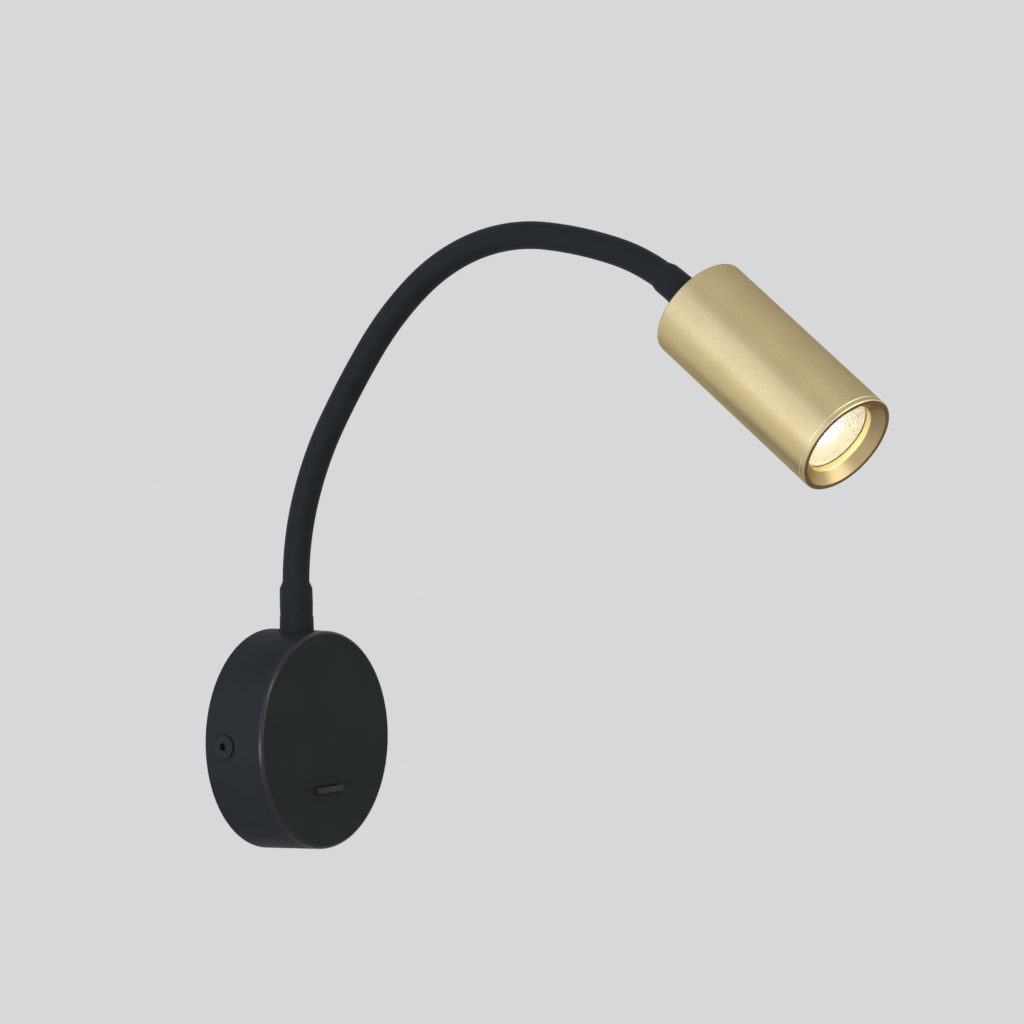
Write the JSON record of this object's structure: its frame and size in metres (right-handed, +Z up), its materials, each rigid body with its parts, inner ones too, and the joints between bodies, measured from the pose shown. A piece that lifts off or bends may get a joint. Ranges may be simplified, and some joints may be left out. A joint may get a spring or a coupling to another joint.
{
  "type": "bedside wall reading lamp",
  "caption": "Round wall box with a rocker switch, a flexible neck that arches forward and a cylindrical spot head with a recessed lamp.",
  "frame": {"origin": "on the wall plane, at the centre of the back of the wall box", "axes": "+Z up, the lamp stands out from the wall towards -Y, +X to the right for someone who faces the wall"},
  "size_m": [0.1297, 0.3997, 0.3284],
  "materials": {
    "black_paint": "matt black powder coat",
    "black_steel": "black oxide, satin",
    "zinc_plate": "zinc plated, satin",
    "black_rubber": "matt",
    "black_moulding": "fine matt grain",
    "brass": "turned",
    "natural_moulding": "matt",
    "conduit_steel": "wound, dull",
    "white_sheath": "extruded silicone, satin",
    "brown_sheath": "extruded, satin",
    "earth_sheath": "extruded, satin, green and yellow",
    "gold_anodised": "fine blasted and anodised, satin champagne gold",
    "white_ceramic": "matt, stands for steatite",
    "white_moulding": "satin",
    "clear_lens": "clear, facetted face",
    "lamp_board": "white board with a yellow light source"
  },
  "bodies": {
    "base": {"wall_plate": "zinc_plate", "cable_grommet": "black_rubber", "base_housing": "black_paint", "side_screws": "black_steel", "switch_body": "black_moulding", "switch_screws": "zinc_plate", "switch_terminals": "brass", "terminal_block": "natural_moulding", "terminal_screws": "brass", "plate_screws": "zinc_plate", "earth_tag": "brass", "lower_ferrule": "brass", "ferrule_washer": "zinc_plate", "ferrule_nut": "zinc_plate", "lower_collar": "black_rubber", "conduit_base_end": "conduit_steel", "live_lead": "brown_sheath", "neutral_lead": "white_sheath", "switched_lead": "white_sheath", "earth_lead": "earth_sheath"},
    "rocker": {"rocker": "black_moulding"},
    "neck_link_1": {"neck_sleeve_1": "black_rubber", "neck_conduit_1": "conduit_steel", "neck_leads_1": "white_sheath"},
    "neck_link_2": {"neck_sleeve_2": "black_rubber", "neck_conduit_2": "conduit_steel", "neck_leads_2": "white_sheath"},
    "neck_link_3": {"neck_sleeve_3": "black_rubber", "neck_conduit_3": "conduit_steel", "neck_leads_3": "white_sheath"},
    "neck_link_4": {"neck_sleeve_4": "black_rubber", "neck_conduit_4": "conduit_steel", "neck_leads_4": "white_sheath"},
    "neck_link_5": {"neck_sleeve_5": "black_rubber", "neck_conduit_5": "conduit_steel", "neck_leads_5": "white_sheath"},
    "neck_link_6": {"neck_sleeve_6": "black_rubber", "neck_conduit_6": "conduit_steel", "neck_leads_6": "white_sheath"},
    "neck_link_7": {"neck_sleeve_7": "black_rubber", "neck_conduit_7": "conduit_steel", "neck_leads_7": "white_sheath"},
    "neck_link_8": {"neck_sleeve_8": "black_rubber", "neck_conduit_8": "conduit_steel", "neck_leads_8": "white_sheath"},
    "head": {"upper_collar": "black_rubber", "conduit_head_end": "conduit_steel", "upper_ferrule": "brass", "head_nut": "zinc_plate", "head_shell": "gold_anodised", "front_ring": "gold_anodised", "holder_bracket": "zinc_plate", "holder_screws": "zinc_plate", "lampholder": "white_ceramic", "lamp_body": "white_moulding", "lamp_lens": "clear_lens", "lamp_board": "lamp_board", "lamp_pins": "brass", "head_leads": "white_sheath"}
  },
  "joints": [
    {"name": "rocker_hinge", "type": "hinge", "parent": "base", "child": "rocker", "pos_m": [0, -0.0305, -0.0259], "axis": [0, 0, 1], "range_deg": [-7, 0]},
    {"name": "neck_bend_1", "type": "hinge", "parent": "base", "child": "neck_link_1", "pos_m": [0, -0.018, 0.0795], "axis": [0.993, -0.1184, 0], "range_deg": [-15, 15]},
    {"name": "neck_sway_2", "type": "hinge", "parent": "neck_link_1", "child": "neck_link_2", "pos_m": [-0.0009, -0.02553, 0.12557], "axis": [0.1122, 0.9405, 0.3206], "range_deg": [-24, 24]},
    {"name": "neck_bend_3", "type": "hinge", "parent": "neck_link_2", "child": "neck_link_3", "pos_m": [-0.00333, -0.04596, 0.16757], "axis": [0.993, -0.1184, 0], "range_deg": [-15, 15]},
    {"name": "neck_sway_4", "type": "hinge", "parent": "neck_link_3", "child": "neck_link_4", "pos_m": [-0.00662, -0.07349, 0.20538], "axis": [0.092, 0.7717, 0.6293], "range_deg": [-24, 24]},
    {"name": "neck_bend_5", "type": "hinge", "parent": "neck_link_4", "child": "neck_link_5", "pos_m": [-0.0106, -0.10691, 0.23788], "axis": [0.993, -0.1184, 0], "range_deg": [-18, 22]},
    {"name": "neck_sway_6", "type": "hinge", "parent": "neck_link_5", "child": "neck_link_6", "pos_m": [-0.01555, -0.1484, 0.25858], "axis": [0.032, 0.2687, 0.9627], "range_deg": [-24, 24]},
    {"name": "neck_bend_7", "type": "hinge", "parent": "neck_link_6", "child": "neck_link_7", "pos_m": [-0.02105, -0.19452, 0.2626], "axis": [0.993, -0.1184, 0], "range_deg": [-18, 22]},
    {"name": "neck_sway_8", "type": "hinge", "parent": "neck_link_7", "child": "neck_link_8", "pos_m": [-0.0265, -0.24025, 0.25402], "axis": [-0.0312, -0.262, 0.9646], "range_deg": [-24, 24]},
    {"name": "neck_bend_9", "type": "hinge", "parent": "neck_link_8", "child": "head", "pos_m": [-0.03146, -0.28187, 0.23358], "axis": [0.993, -0.1184, 0], "range_deg": [-18, 22]}
  ],
  "couplings": [
    {"joint": "neck_bend_3", "follows": "neck_bend_1", "ratio": 1},
    {"joint": "neck_bend_7", "follows": "neck_bend_5", "ratio": 1},
    {"joint": "neck_bend_9", "follows": "neck_bend_5", "ratio": 1},
    {"joint": "neck_sway_4", "follows": "neck_sway_2", "ratio": 1},
    {"joint": "neck_sway_8", "follows": "neck_sway_6", "ratio": 1}
  ]
}
